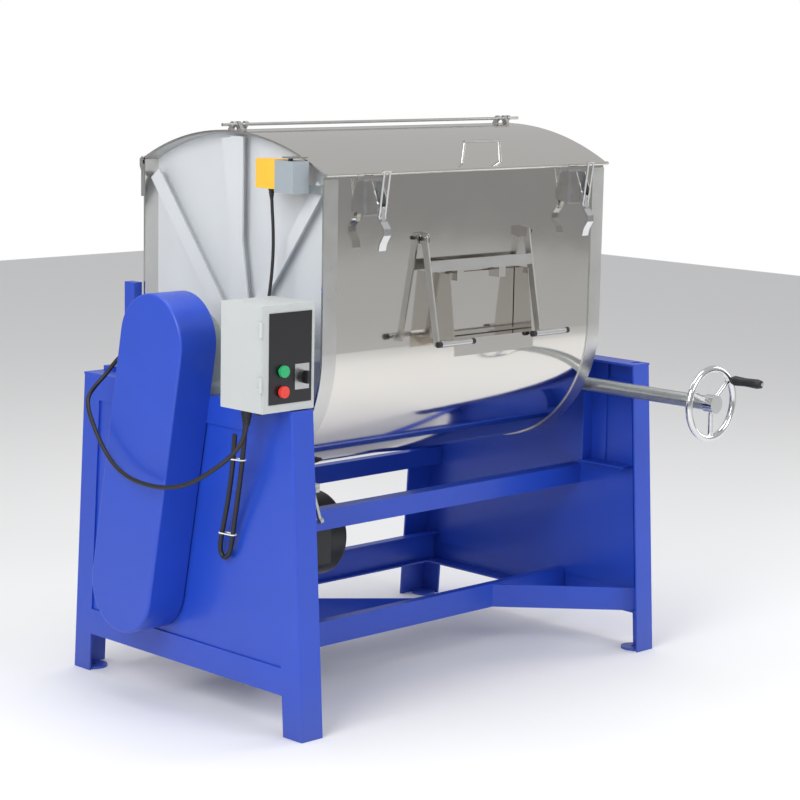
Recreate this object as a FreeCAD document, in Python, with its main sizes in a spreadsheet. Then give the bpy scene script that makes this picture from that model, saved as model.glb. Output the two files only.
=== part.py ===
import FreeCAD, Part
import math
import os
import Sketcher
from FreeCAD import Placement, Rotation, Vector

# Horizontal ribbon blender: a U-shaped drum that tips forward between two stands, with a
# double-helical ribbon agitator driven by a gearmotor through a guarded chain.
# Millimetres, +Z up. X runs along the drum axis, -X is the drive side and -Y the front.
# The origin is on the floor under the middle of the drum.

doc = FreeCAD.newDocument("ribbon_blender")
sheet = doc.addObject("Spreadsheet::Sheet", "Dims")
X_AXIS, Y_AXIS, Z_AXIS = Vector(1, 0, 0), Vector(0, 1, 0), Vector(0, 0, 1)


# ---------------------------------------------------------------- sizes and expressions

class Size:
    """A length that knows its value and the spreadsheet expression that gives it."""

    def __init__(self, value, text):
        self.value = float(value)
        self.text = text

    def __add__(self, other):
        return Size(self.value + number(other), f"({self.text} + {text_of(other)})")

    def __radd__(self, other):
        return Size(number(other) + self.value, f"({text_of(other)} + {self.text})")

    def __sub__(self, other):
        return Size(self.value - number(other), f"({self.text} - {text_of(other)})")

    def __rsub__(self, other):
        return Size(number(other) - self.value, f"({text_of(other)} - {self.text})")

    def __mul__(self, other):
        return Size(self.value * number(other), f"({self.text} * {text_of(other)})")

    def __rmul__(self, other):
        return Size(number(other) * self.value, f"({text_of(other)} * {self.text})")

    def __truediv__(self, other):
        return Size(self.value / number(other), f"({self.text} / {text_of(other)})")

    def __neg__(self):
        return Size(-self.value, f"(0 - {self.text})")


def number(value):
    return value.value if isinstance(value, Size) else float(value)


def text_of(value):
    return value.text if isinstance(value, Size) else f"({float(value):.6f})"


def root(value):
    return Size(math.sqrt(value.value), f"sqrt({value.text})")


def smaller(first, second):
    return Size(min(number(first), number(second)), f"min({text_of(first)}; {text_of(second)})")


row_count = 0


def size(name, value):
    """Writes one driving dimension into the sheet and returns it."""
    global row_count
    row_count += 1
    sheet.set(f"A{row_count}", name)
    sheet.set(f"B{row_count}", str(value))
    sheet.setAlias(f"B{row_count}", name)
    return Size(value, f"Dims.{name}")


def bind(obj, prop, value):
    if isinstance(value, Size):
        obj.setExpression(prop, value.text)


# ---------------------------------------------------------------- document helpers

def place(obj, x=0, y=0, z=0, axis=None, angle=0):
    """Puts an object at x, y, z, turned by angle degrees about axis; all three may be Sizes."""
    turn = Rotation(axis, number(angle)) if axis else Rotation()
    obj.Placement = Placement(Vector(number(x), number(y), number(z)), turn)
    for key, value in (("x", x), ("y", y), ("z", z)):
        bind(obj, f"Placement.Base.{key}", value)
    if axis:
        bind(obj, "Placement.Rotation.Angle", angle)
    return obj


def block(name, xs, ys, zs):
    """A plain box between two values on each axis."""
    made = doc.addObject("Part::Box", name)
    for prop, (low, high) in (("Length", xs), ("Width", ys), ("Height", zs)):
        span = high - low
        setattr(made, prop, number(span))
        bind(made, prop, span)
    return place(made, xs[0], ys[0], zs[0])


def rod(name, radius, start, direction, length):
    """A round bar from start along a direction."""
    made = doc.addObject("Part::Cylinder", name)
    made.Radius, made.Height = number(radius), number(length)
    bind(made, "Radius", radius)
    bind(made, "Height", length)
    turn = Rotation(Z_AXIS, direction)
    place(made, *start)
    made.Placement = Placement(made.Placement.Base, turn)
    return made


def fuse(name, parts):
    made = doc.addObject("Part::MultiFuse", name)
    made.Shapes = parts
    return made


def cut(name, base, tools):
    made = doc.addObject("Part::Cut", name)
    made.Base = base
    made.Tool = tools[0] if len(tools) == 1 else fuse(name + "_tools", tools)
    return made


def group(name, parts):
    """Separate solids that share one node."""
    made = doc.addObject("Part::Compound", name)
    made.Links = parts
    return made


def mirrored(name, base, normal):
    made = doc.addObject("Part::Mirroring", name)
    made.Source = base
    made.Normal = normal
    return made


def body(name):
    return doc.addObject("PartDesign::Body", name)


def sketch_on(part, role, offset=0):
    """A sketch on one of the body's own origin planes, moved along the plane's normal."""
    drawn = part.newObject("Sketcher::SketchObject", part.Name + "_sketch")
    plane = [f for f in part.Origin.OriginFeatures if f.Role == role][0]
    drawn.AttachmentSupport = [(plane, "")]
    drawn.MapMode = "FlatFace"
    drawn.AttachmentOffset = Placement(Vector(0, 0, number(offset)), Rotation())
    bind(drawn, "AttachmentOffset.Base.z", offset)
    return drawn


def fix(drawn, kind, geo, pos, value):
    index = drawn.addConstraint(Sketcher.Constraint(kind, -1, 1, geo, pos, number(value)))
    bind(drawn, f"Constraints[{index}]", value)


def outline(drawn, steps):
    """A closed outline. A step is a point (x, y); ("arc", cx, cy, turn) between two points
    joins them by an arc about that centre, anticlockwise when turn is 1 and clockwise at -1."""
    points, arcs = [], {}
    for step in steps:
        if step[0] == "arc":
            arcs[len(points) - 1] = step[1:]
        else:
            points.append(step)
    count = len(points)
    ends = []
    for i, (x, y) in enumerate(points):
        start = Vector(number(x), number(y), 0)
        stop = Vector(number(points[(i + 1) % count][0]), number(points[(i + 1) % count][1]), 0)
        if i in arcs:
            cx, cy, turn = arcs[i]
            centre = Vector(number(cx), number(cy), 0)
            first, last = start - centre, stop - centre
            angles = [math.atan2(v.y, v.x) for v in ((first, last) if turn > 0 else (last, first))]
            circle = Part.Circle(centre, Z_AXIS, first.Length)
            geo = drawn.addGeometry(Part.ArcOfCircle(circle, *angles), False)
            ends.append((geo, 1, 2) if turn > 0 else (geo, 2, 1))
            fix(drawn, "DistanceX", geo, 3, cx)
            fix(drawn, "DistanceY", geo, 3, cy)
        else:
            geo = drawn.addGeometry(Part.LineSegment(start, stop), False)
            ends.append((geo, 1, 2))
    for i, (geo, first, last) in enumerate(ends):
        following = ends[(i + 1) % count]
        drawn.addConstraint(Sketcher.Constraint("Coincident", geo, last, following[0], following[1]))
        x, y = points[i]
        before = (i - 1) % count
        if before in arcs:
            cx, cy, _ = arcs[before]
            flat = abs(number(y) - number(cy)) > abs(number(x) - number(cx))
            fix(drawn, "DistanceX" if flat else "DistanceY", geo, first, x if flat else y)
        else:
            fix(drawn, "DistanceX", geo, first, x)
            fix(drawn, "DistanceY", geo, first, y)


def circle(drawn, x, y, radius):
    geo = drawn.addGeometry(Part.Circle(Vector(number(x), number(y), 0), Z_AXIS, number(radius)), False)
    fix(drawn, "DistanceX", geo, 3, x)
    fix(drawn, "DistanceY", geo, 3, y)
    index = drawn.addConstraint(Sketcher.Constraint("Radius", geo, number(radius)))
    bind(drawn, f"Constraints[{index}]", radius)


def rectangle(x0, x1, y0, y1):
    return [(x0, y0), (x1, y0), (x1, y1), (x0, y1)]


def pad(part, drawn, length, middle=False, back=False):
    made = part.newObject("PartDesign::Pad", part.Name + "_pad")
    made.Profile = drawn
    made.Length = number(length)
    bind(made, "Length", length)
    made.Midplane = middle
    made.Reversed = back
    return made


def pocket(part, drawn, length, middle=False, back=False):
    """Removes material; the volume has to fall."""
    doc.recompute()
    before = part.Shape.Volume
    made = part.newObject("PartDesign::Pocket", part.Name + "_pocket")
    made.Profile = drawn
    made.Length = number(length)
    bind(made, "Length", length)
    made.Midplane = middle
    made.Reversed = back
    doc.recompute()
    if part.Shape.Volume >= before:
        raise RuntimeError(f"a pocket of {part.Name} cuts nothing")
    return made


def revolve(part, drawn, axis):
    made = part.newObject("PartDesign::Revolution", part.Name + "_revolution")
    made.Profile = drawn
    made.ReferenceAxis = (drawn, [axis])
    made.Angle = 360
    return made


def plate(name, role, steps, length, offset=0, holes=(), middle=False, back=False):
    """A body made of one padded outline; holes are further outlines or (x, y, radius)."""
    part = body(name)
    drawn = sketch_on(part, role, offset)
    outline(drawn, steps)
    for hole in holes:
        if len(hole) == 3 and not isinstance(hole[0], tuple):
            circle(drawn, *hole)
        else:
            outline(drawn, hole)
    pad(part, drawn, length, middle, back)
    return part


def ring(name, role, x, y, outer, inner, length, offset=0):
    part = body(name)
    drawn = sketch_on(part, role, offset)
    circle(drawn, x, y, outer)
    circle(drawn, x, y, inner)
    pad(part, drawn, length)
    return part


def round_edges(part, test, radius):
    """Fillets the edges of a body that pass a test on their middle point and direction."""
    doc.recompute()
    names = []
    for i, edge in enumerate(part.Shape.Edges, start=1):
        middle = edge.valueAt((edge.FirstParameter + edge.LastParameter) / 2)
        along = edge.tangentAt((edge.FirstParameter + edge.LastParameter) / 2)
        if test(middle, along):
            names.append(f"Edge{i}")
    base = part.Tip
    made = part.newObject("PartDesign::Fillet", part.Name + "_fillet")
    made.Base = (base, names)
    made.Radius = number(radius)
    bind(made, "Radius", radius)
    return made


nodes = []


def node(obj, label):
    """Marks an object as a sub-part that is written to parts/label.step."""
    obj.Label = label
    nodes.append(obj)
    return obj


# ---------------------------------------------------------------- driving sizes

stand_x = size("stand_half_width", 650)
stand_y = size("stand_half_depth_floor", 448)
stand_y_top = size("stand_half_depth_top", 399)
stand_z = size("stand_height", 788)
folded = size("folded_sheet", 5)
leg_flange = size("leg_flange", 67)
rear_flange = size("rear_leg_flange", 98)
low_rail = size("low_rail_bottom", 100)
low_rail_top = size("low_rail_top", 167)
high_rail = size("high_rail_bottom", 721)
lip = size("rail_lip", 40)
panel_sheet = size("panel_sheet", 4)
plate_t = size("top_plate_thickness", 6)
pad_r = size("foot_pad_radius", 34)
beam_top = size("front_beam_top", 476)
axis_z = size("drum_axis_height", 900)
drum_r = size("drum_inner_radius", 335)
drum_x = size("drum_half_length", 503)
wall_x = size("end_wall_face", 456)
wall_top = size("drum_wall_rise", 430)
crest = size("cover_crest_rise", 519.5)
arch_r = size("cover_arch_radius", 722)
skin = size("drum_sheet", 3)
shaft_r = size("agitator_shaft_radius", 30)
trunnion_r = size("trunnion_radius", 45)
running = size("running_gap", 0.05)
helix_pitch = size("ribbon_pitch", 880)
ribbon_w = size("outer_ribbon_width", 32)
inner_r = size("inner_ribbon_radius", 196)
pitch_r = size("sprocket_pitch_radius", 65.1)
motor_y = size("drive_centre_y", 109.2)
drive_z = size("drive_centre_height", 274.5)
motor_z = size("motor_axis_height", 341)
wheel_r = size("handwheel_radius", 100)
wheel_y = size("handwheel_reach", 695)
worm_x = size("worm_axis_x", 545)
worm_z = size("worm_axis_height", 725)
box_w = size("control_box_width", 160)
box_h = size("control_box_height", 250)
box_d = size("control_box_depth", 145)


def depth_at(z):
    """Half depth of a stand at a height; the legs lean inwards towards the top."""
    return stand_y - (stand_y - stand_y_top) / stand_z * z


def leg_edge(z):
    return depth_at(z) - leg_flange


# ---------------------------------------------------------------- stands

leg_top = stand_z - plate_t


def leg(name, side, front, width):
    made = body(name)
    near = -stand_x if side < 0 else stand_x - folded
    skin_sketch = sketch_on(made, "YZ_Plane", near)
    outline(skin_sketch, [(depth_at(0) * front, 0), (leg_edge(0) * front, 0),
                          (leg_edge(leg_top) * front, leg_top), (depth_at(leg_top) * front, leg_top)])
    pad(made, skin_sketch, folded)
    near = -stand_x if side < 0 else stand_x - width
    fold_sketch = sketch_on(made, "YZ_Plane", near)
    outline(fold_sketch, [(depth_at(0) * front, 0), ((depth_at(0) - folded) * front, 0),
                          ((depth_at(leg_top) - folded) * front, leg_top),
                          (depth_at(leg_top) * front, leg_top)])
    pad(made, fold_sketch, width)
    corner = side * stand_x.value
    round_edges(made, lambda m, a: abs(m.x - corner) < 0.01 and abs(a.z) > 0.9
                and abs(abs(m.y) - depth_at(leg_top / 2).value) < 1, folded * 0.9)
    return made


def rails(name, side):
    near = -stand_x if side < 0 else stand_x - folded
    made = body(name + "_low_rail")
    face = sketch_on(made, "YZ_Plane", near)
    outline(face, [(-leg_edge(low_rail), low_rail), (leg_edge(low_rail), low_rail),
                   (leg_edge(low_rail_top), low_rail_top), (-leg_edge(low_rail_top), low_rail_top)])
    pad(made, face, folded)
    lower = sketch_on(made, "XY_Plane", low_rail)
    reach = leg_edge(low_rail) + leg_flange * 0.8
    inner, outer = (stand_x - folded - lip) * side, (stand_x - folded * 0.5) * side
    outline(lower, rectangle(inner, outer, -leg_edge(low_rail), leg_edge(low_rail)))
    pad(made, lower, folded)
    shelf = block(name + "_lip_front", sorted_x(inner, (stand_x - folded) * side),
                  (-reach, -leg_edge(low_rail)), (low_rail, low_rail + folded))
    shelf_rear = block(name + "_lip_rear", sorted_x(inner, (stand_x - folded) * side),
                       (leg_edge(low_rail), reach), (low_rail, low_rail + folded))
    upper = plate(name + "_high_rail", "YZ_Plane",
                  [(-leg_edge(high_rail), high_rail), (leg_edge(high_rail), high_rail),
                   (leg_edge(leg_top), leg_top), (-leg_edge(leg_top), leg_top)], folded, near)
    return [made, shelf, shelf_rear, upper]


def sorted_x(first, second):
    return (first, second) if number(first) < number(second) else (second, first)


left_parts = [leg("left_front_leg", -1, -1, leg_flange), leg("left_rear_leg", -1, 1, rear_flange)]
node(group("left_frame", left_parts + rails("left", -1)), "left_side_frame")

inner_face = stand_x - folded - panel_sheet
column = plate("right_column", "XY_Plane",
               [(inner_face, -265), (inner_face, -210), (inner_face - 42, -210),
                (inner_face - 42, -214), (inner_face - 4, -214), (inner_face - 4, -265)], 278, 500)
ledge = block("right_ledge", (inner_face - 46, inner_face), (-365, -205), (496, 500))
right_parts = [leg("right_front_leg", 1, -1, leg_flange), leg("right_rear_leg", 1, 1, rear_flange)]
node(group("right_frame", right_parts + rails("right", 1) + [column, ledge]), "right_side_frame")

low_panel, high_panel = low_rail_top - 10, high_rail + 10
panel_outline = [(-(leg_edge(low_panel) + 10), low_panel), (leg_edge(low_panel) + 10, low_panel),
                 (leg_edge(high_panel) + 10, high_panel), (-(leg_edge(high_panel) + 10), high_panel)]
left_panel = plate("left_panel", "YZ_Plane", panel_outline, panel_sheet, -(stand_x - folded),
                   [(motor_y, drive_z, 28)])
right_panel = plate("right_panel", "YZ_Plane", panel_outline, panel_sheet, inner_face)
node(group("panels", [left_panel, right_panel]), "side_panels")

plate_x = stand_x - leg_flange
left_top = plate("left_top", "XY_Plane",
                 rectangle(-stand_x, -plate_x, -stand_y_top, stand_y_top), plate_t, leg_top)
right_top = plate("right_top", "XY_Plane",
                  rectangle(plate_x, stand_x, -stand_y_top, stand_y_top), plate_t, leg_top,
                  [rectangle(plate_x + 26, plate_x + 61, -377, -365)])
node(group("tops", [left_top, right_top]), "top_plates")

pads = []
pad_x, pad_y = stand_x - folded - pad_r * 0.94, stand_y - folded - pad_r - 1
for side in (-1, 1):
    for front in (-1, 1):
        cx, cy, half = pad_x * side, pad_y * front, root(pad_r * pad_r * 0.1164)
        flat = (stand_x - folded) * side
        steps = [(flat, cy - half * side), (flat, cy + half * side), ("arc", cx, cy, 1)]
        pads.append(plate("foot_pad", "XY_Plane", steps, plate_t, 0, [(cx, cy, 6)]))
node(group("pads", pads), "foot_pads")

beam_front = block("front_beam", (-inner_face, inner_face), (-172, -132), (beam_top - 52, beam_top))
beam_rear = block("rear_beam", (-(stand_x - folded), stand_x - folded), (374, 414), (396, 446))
node(group("high_beams", [beam_front, beam_rear]), "upper_beams")

lip_top = low_rail + folded
low_front = block("low_front_beam", (-inner_face, inner_face), (-125, -100), (lip_top, lip_top + 65))
low_rear = plate("low_rear_beam", "YZ_Plane",
                 [(372, lip_top), (400, lip_top), (400, lip_top + 85), (372, lip_top + 85),
                  (372, lip_top + 81), (396, lip_top + 81), (396, lip_top + 4), (372, lip_top + 4)],
                 inner_face * 2, middle=True)
node(group("low_beams", [low_front, low_rear]), "lower_beams")

braces = []
for side in (-1, 1):
    base = stand_x - folded - 22
    steps = [(353 * side, -125), (345 * side, -125), ((base - 8) * side, -408), (base * side, -408)]
    steps = [(Size(number(x), text_of(x)), Size(y, text_of(y))) for x, y in steps]
    braces.append(plate("front_brace", "XY_Plane", steps, 63, lip_top))
braces.append(plate("rear_brace", "XY_Plane",
                    [(69, -100), (77, -100), (-514, 396), (-522, 396)], 59, lip_top + 4))
node(group("braces", braces), "diagonal_braces")

arm = block("stop_arm", (-(plate_x + 10), -500), (352, 392), (stand_z, stand_z + 12))
post = block("stop_post", (-525, -500), (352, 392), (stand_z + 12, stand_z + 225))
node(group("stop_parts", [arm, post]), "back_stop")

bolt_along = Vector(52, 0, -154)
long_bolt = rod("long_bolt", 5.5, (-575, -364, 659), bolt_along, 156)
long_head = doc.addObject("Part::Prism", "long_head")
long_head.Polygon, long_head.Circumradius, long_head.Height = 6, 9.8, 8
long_head.Placement = Placement(Vector(-575, -364, 659) + bolt_along.normalize() * 156,
                                Rotation(Z_AXIS, bolt_along))
short_bolt = rod("short_bolt", 5.5, (-584, -364, 621), bolt_along, 68)
holes = [rod("bolt_hole", 5.5, (-575, -364, 659), bolt_along, 156),
         rod("bolt_hole", 5.5, (-584, -364, 621), bolt_along, 68)]
lug_steps = [(-583, -412), (-570, -412), (-570, -374), (-535, -374), (-535, -354), (-583, -354)]
lug = cut("bolt_lug", plate("lug_blank", "XY_Plane", lug_steps, 10, 590), holes)
node(group("bolt_parts", [long_bolt, long_head, short_bolt, lug]), "adjusting_bolts")

# ---------------------------------------------------------------- drive

mount_face = -(inner_face - 12)
mount_blank = plate("mount_plate", "YZ_Plane", rectangle(-10, 230, 150, 410), 12, -inner_face,
                    [(motor_y, drive_z, 28)])
node(mount_blank, "motor_mount")

head = plate("gear_head", "YZ_Plane",
             [(motor_y - 82, motor_z), (motor_y - 82, drive_z), ("arc", motor_y, drive_z, 1),
              (motor_y + 82, drive_z), (motor_y + 82, motor_z), ("arc", motor_y, motor_z, 1)],
             160, mount_face)
round_edges(head, lambda m, a: abs(m.x - (number(mount_face) + 160)) < 0.01, 14)
barrel_start = mount_face + 160
barrel = rod("motor_barrel", 93, (barrel_start, motor_y, motor_z), X_AXIS, 290)
fins = []
for i in range(14):
    angle = math.radians(12.9 + 25.7 * i)
    fin = doc.addObject("Part::Box", "cooling_fin")
    fin.Length, fin.Width, fin.Height = 250, 3, 12
    fin.Placement = Placement(
        Vector(barrel_start.value + 20, motor_y.value, motor_z.value),
        Rotation(X_AXIS, math.degrees(angle))).multiply(Placement(Vector(0, -1.5, 92), Rotation()))
    if not 20 < math.degrees(angle) < 115:
        fins.append(fin)
motor_body = fuse("motor_parts", [head, barrel] + fins)
cowl = body("cowl")
cowl_sketch = sketch_on(cowl, "YZ_Plane", barrel_start + 290)
circle(cowl_sketch, motor_y, motor_z, 113)
pad(cowl, cowl_sketch, 92)
cowl_end = number(barrel_start) + 382
round_edges(cowl, lambda m, a: abs(m.x - cowl_end) < 0.01, 16)
vents = sketch_on(cowl, "YZ_Plane", barrel_start + 382)
for reach in (24, 50, 76):
    for k in range(reach // 4):
        turn = 2 * math.pi * k / (reach // 4)
        if reach < 76 or k % 2 == 0:
            circle(vents, motor_y + reach * math.cos(turn), motor_z + reach * math.sin(turn), 5)
pocket(cowl, vents, 6)
node(group("gearmotor_group", [motor_body, cowl]), "gearmotor")
terminal = block("terminal_blank", (-302, -206), (-62, 14), (300, 395))
terminal_cut = cut("terminal_parts", terminal,
                   [rod("terminal_seat", 93, (-320, motor_y, motor_z), X_AXIS, 130)])
node(terminal_cut, "terminal_box")

chain_x = size("chain_plane_x", -710)
chain_dy, chain_dz = motor_y, drive_z - axis_z
chain_span = root(chain_dy * chain_dy + chain_dz * chain_dz)
side_y, side_z = -chain_dz / chain_span, chain_dy / chain_span
lead = math.atan2(chain_dz.value, chain_dy.value)


def loop(radius, top=None, low=None, low_radius=None):
    """Outline of a band round two centres; equal end radii."""
    top = top or (Size(0, "(0)"), axis_z)
    low = low or (motor_y, drive_z)
    ny, nz = side_y * radius, side_z * radius
    return [(low[0] + ny, low[1] + nz), (top[0] + ny, top[1] + nz), ("arc", top[0], top[1], 1),
            (top[0] - ny, top[1] - nz), (low[0] - ny, low[1] - nz), ("arc", low[0], low[1], 1)]


chain_parts = []
for shift in (-11, 8.6):
    chain_parts.append(plate("link_band", "YZ_Plane", loop(pitch_r + 9), 2.4, chain_x + shift,
                             [loop(pitch_r - 9)]))
for centre_y, centre_z, way in ((0, axis_z, math.pi), (motor_y, drive_z, 0)):
    for k in range(9):
        turn = lead + way - math.pi / 2 + math.pi / 8 * k
        chain_parts.append(rod("chain_roller", 7.9,
                               (chain_x - 8.6, pitch_r * math.cos(turn) + centre_y,
                                pitch_r * math.sin(turn) + centre_z), X_AXIS, 17.2))
node(group("chain_parts", chain_parts), "roller_chain")


def sprocket(name, cy, cz, hub_r, bore_r, hub_x, hub_length):
    made = body(name)
    disc = sketch_on(made, "YZ_Plane", chain_x - 7)
    circle(disc, cy, cz, pitch_r + 7)
    circle(disc, cy, cz, bore_r)
    pad(made, disc, 14)
    hub = sketch_on(made, "YZ_Plane", hub_x)
    circle(hub, cy, cz, hub_r)
    circle(hub, cy, cz, bore_r)
    pad(made, hub, hub_length)
    gaps = sketch_on(made, "YZ_Plane", chain_x - 7)
    for k in range(16):
        turn = lead + math.pi / 8 * k
        circle(gaps, pitch_r * math.cos(turn) + cy, pitch_r * math.sin(turn) + cz, 8.2)
    cutter = pocket(made, gaps, 14, back=True)
    return made


driven = sprocket("driven_wheel", Size(0, "(0)"), axis_z, 46, shaft_r, chain_x - 14, 28)
node(driven, "driven_sprocket")
driving = sprocket("driving_wheel", motor_y, drive_z, 34, 20, chain_x - 14, 28)
output_shaft = rod("output_shaft", 20, (chain_x - 20, motor_y, drive_z), X_AXIS, mount_face - chain_x + 20)
node(group("drive_parts", [driving, output_shaft]), "drive_sprocket")

guard_r = size("guard_radius", 117)
guard_x = size("guard_outer_face", -760)
guard_back = -(stand_x + 5)
guard_top = (Size(-8, "(0 - 8)"), axis_z + 18)
guard_low = (motor_y, drive_z + 18)
guard = body("guard")
guard_sketch = sketch_on(guard, "YZ_Plane", guard_x)
outline(guard_sketch, loop(guard_r, guard_top, guard_low))
pad(guard, guard_sketch, guard_back - guard_x)
round_edges(guard, lambda m, a: abs(m.x - guard_x.value) < 0.01, 7)
hollow = sketch_on(guard, "YZ_Plane", guard_x + 3)
outline(hollow, loop(guard_r - 3, guard_top, guard_low))
pocket(guard, hollow, guard_back - guard_x - 3, back=True)
node(guard, "chain_guard")
back_plate = plate("guard_back", "YZ_Plane", loop(guard_r, guard_top, guard_low), 5, guard_back,
                   [(0, axis_z, trunnion_r + 8), (motor_y, drive_z, 28)])
node(back_plate, "guard_backplate")

# ---------------------------------------------------------------- bearings and worm gear


def housing(name, near):
    r = trunnion_r + 37
    made = plate(name, "YZ_Plane",
                 [(-88, stand_z), (88, stand_z), (88, stand_z + 18), (r, stand_z + 30), (r, axis_z),
                  ("arc", 0, axis_z, 1), (-r, axis_z), (-r, stand_z + 30), (-88, stand_z + 18)],
                 55, near, [(0, axis_z, trunnion_r + running)])
    return made


housing_x = stand_x - 60
node(group("housings", [housing("left_housing", -(housing_x + 55)), housing("right_housing", housing_x)]),
     "bearing_housings")

case = plate("gear_case", "YZ_Plane",
             [(-52, worm_z - 42), (52, worm_z - 42), (100, axis_z), ("arc", 0, axis_z, 1),
              (-100, axis_z)],
             plate_x - 515, 515)
spigot = rod("case_spigot", trunnion_r + 25, (plate_x, 0, axis_z), X_AXIS, housing_x - plate_x)
boss = rod("worm_boss", 34, (worm_x, -88, worm_z), Y_AXIS, 176)
bores = [rod("gear_bore", trunnion_r + running, (510, 0, axis_z), X_AXIS, 90),
         rod("worm_bore", 19 + running, (worm_x, -90, worm_z), Y_AXIS, 60)]
node(cut("gear_parts", fuse("gear_blank", [case, boss, spigot]), bores), "worm_gearbox")

tube = rod("wheel_tube", 19, (worm_x, -wheel_y + 12, worm_z), Y_AXIS, wheel_y - 12 - 32)
collar = ring("tube_collar", "XZ_Plane", worm_x, worm_z, 26, 19, 22, 92)
collar_screw = rod("collar_screw", 4, (worm_x, -103, worm_z + 26.2), Z_AXIS, 14)
node(group("tube_parts", [tube, collar, collar_screw]), "handwheel_tube")

rim = doc.addObject("Part::Torus", "wheel_rim")
rim.Radius1, rim.Radius2 = number(wheel_r - 9), 9
bind(rim, "Radius1", wheel_r - 9)
place(rim, worm_x, -wheel_y, worm_z)
rim.Placement = Placement(rim.Placement.Base, Rotation(X_AXIS, 90))
wheel_hub = rod("wheel_hub", 24, (worm_x, -wheel_y - 18, worm_z), Y_AXIS, 30)
spokes = []
for turn in (38, -89, 155):
    way = Vector(math.cos(math.radians(turn)), 0, math.sin(math.radians(turn)))
    spokes.append(rod("wheel_spoke", 6.5, (worm_x, -wheel_y, worm_z), way, wheel_r - 9))
grip_x = worm_x + (wheel_r - 9) * math.cos(math.radians(38))
grip_z = worm_z + (wheel_r - 9) * math.sin(math.radians(38))
grip_pin = rod("grip_pin", 5, (grip_x, -wheel_y - 108, grip_z), Y_AXIS, 108)
node(fuse("wheel_parts", [rim, wheel_hub, grip_pin] + spokes), "handwheel")
grip = body("grip")
grip_sketch = sketch_on(grip, "XY_Plane")
outline(grip_sketch, [(5 + running.value, 0), (10, 0), (12.5, 12), (11, 50), (13, 84), (9, 94),
                      (5 + running.value, 94)])
revolve(grip, grip_sketch, "V_Axis")
place(grip, grip_x, -wheel_y - 104, grip_z)
node(grip, "handwheel_grip")

# ---------------------------------------------------------------- drum shell and ends


def arch_z(y, radius):
    """Height of the cover's arch over the drum axis at a distance from the middle."""
    return crest - arch_r + root(radius * radius - y * y)


arch_c = crest - arch_r
shell_out = drum_r + skin
opening_x = (-120, 148)
shell = body("shell")
u_shape = sketch_on(shell, "YZ_Plane")
outline(u_shape, [(-shell_out, wall_top), (-shell_out, 0), ("arc", 0, 0, 1), (shell_out, 0),
                  (shell_out, wall_top), (drum_r, wall_top), (drum_r, 0), ("arc", 0, 0, -1),
                  (-drum_r, 0), (-drum_r, wall_top)])
pad(shell, u_shape, drum_x * 2, middle=True)
mouth = sketch_on(shell, "XZ_Plane", drum_r - 5)
outline(mouth, rectangle(opening_x[0], opening_x[1], 20, 172))
pocket(shell, mouth, 12, back=True)
place(shell, z=axis_z)
node(shell, "drum_shell")

under = arch_r - skin
ends = []
for side in (-1, 1):
    near = -(wall_x + 4) if side < 0 else wall_x
    top_y = root(under * under - (wall_top - arch_c) * (wall_top - arch_c))
    steps = [(-drum_r, arch_z(drum_r, under)), (-drum_r, 0), ("arc", 0, 0, 1), (drum_r, 0),
             (drum_r, arch_z(drum_r, under)), ("arc", 0, arch_c, 1)]
    wall = plate("end_wall", "YZ_Plane", steps, 4, near, [(0, 0, shaft_r + running)])
    ends.append(place(wall, z=axis_z))
node(group("end_parts", ends), "end_walls")

bands = []
for side in (-1, 1):
    near = -drum_x if side < 0 else wall_x + 2
    out = shell_out + skin
    steps = [(-out, wall_top - 12), (-out, 0), ("arc", 0, 0, 1), (out, 0), (out, wall_top - 12),
             (shell_out, wall_top - 12), (shell_out, 0), ("arc", 0, 0, -1), (-shell_out, 0),
             (-shell_out, wall_top - 12)]
    bands.append(place(plate("edge_band", "YZ_Plane", steps, drum_x - wall_x - 2, near), z=axis_z))
    near = -drum_x if side < 0 else wall_x + 4
    inner, edge = under - skin, drum_r
    steps = [(edge, arch_z(edge, inner)), (edge, arch_z(edge, under)), ("arc", 0, arch_c, 1),
             (-edge, arch_z(edge, under)), (-edge, arch_z(edge, inner)), ("arc", 0, arch_c, -1)]
    bands.append(place(plate("arch_band", "YZ_Plane", steps, drum_x - wall_x - 4, near), z=axis_z))
node(group("band_parts", bands), "drum_rims")

strap_x = -(wall_x + 4)


def strap(name, y0, z0, y1, z1, width):
    """A T-section bar on the left end wall from one point to another."""
    span = math.hypot(y1 - y0, z1 - z0)
    wy, wz = -(z1 - z0) / span, (y1 - y0) / span
    made = body(name)
    for half, near, deep in ((width / 2, strap_x - 30, 5), (2.5, strap_x - 27, 27)):
        drawn = sketch_on(made, "YZ_Plane", near)
        outline(drawn, [(y0 + wy * half, z0 + wz * half), (y0 - wy * half, z0 - wz * half),
                        (y1 - wy * half, z1 - wz * half), (y1 + wy * half, z1 + wz * half)])
        pad(made, drawn, deep)
    return made


hub = rod("end_hub", trunnion_r + 32, (strap_x - 35, 0, 0), X_AXIS, 35)
straps = [strap("crest_strap", 30, 500, -42, 60, 40), strap("front_strap", -314, 402, -56, 56, 32),
          strap("rear_strap", 312, 396, 44, 64, 40), strap("spine", -8, 505, -8, 60, 46),
          strap("rim_strap", -333, -5, -60, -5, 27)]
right_hub = rod("right_hub", trunnion_r + 18, (wall_x + 4, 0, 0), X_AXIS, 30)
bored = [rod("strap_bore", trunnion_r, (strap_x - 40, 0, 0), X_AXIS, 45),
         rod("right_hub_bore", trunnion_r, (wall_x, 0, 0), X_AXIS, 40)]
left_web = cut("left_web", fuse("web_blank", [hub] + straps), bored[:1])
right_web = cut("right_web", right_hub, bored[1:])
node(place(group("web_parts", [left_web, right_web]), z=axis_z), "end_straps")

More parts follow.
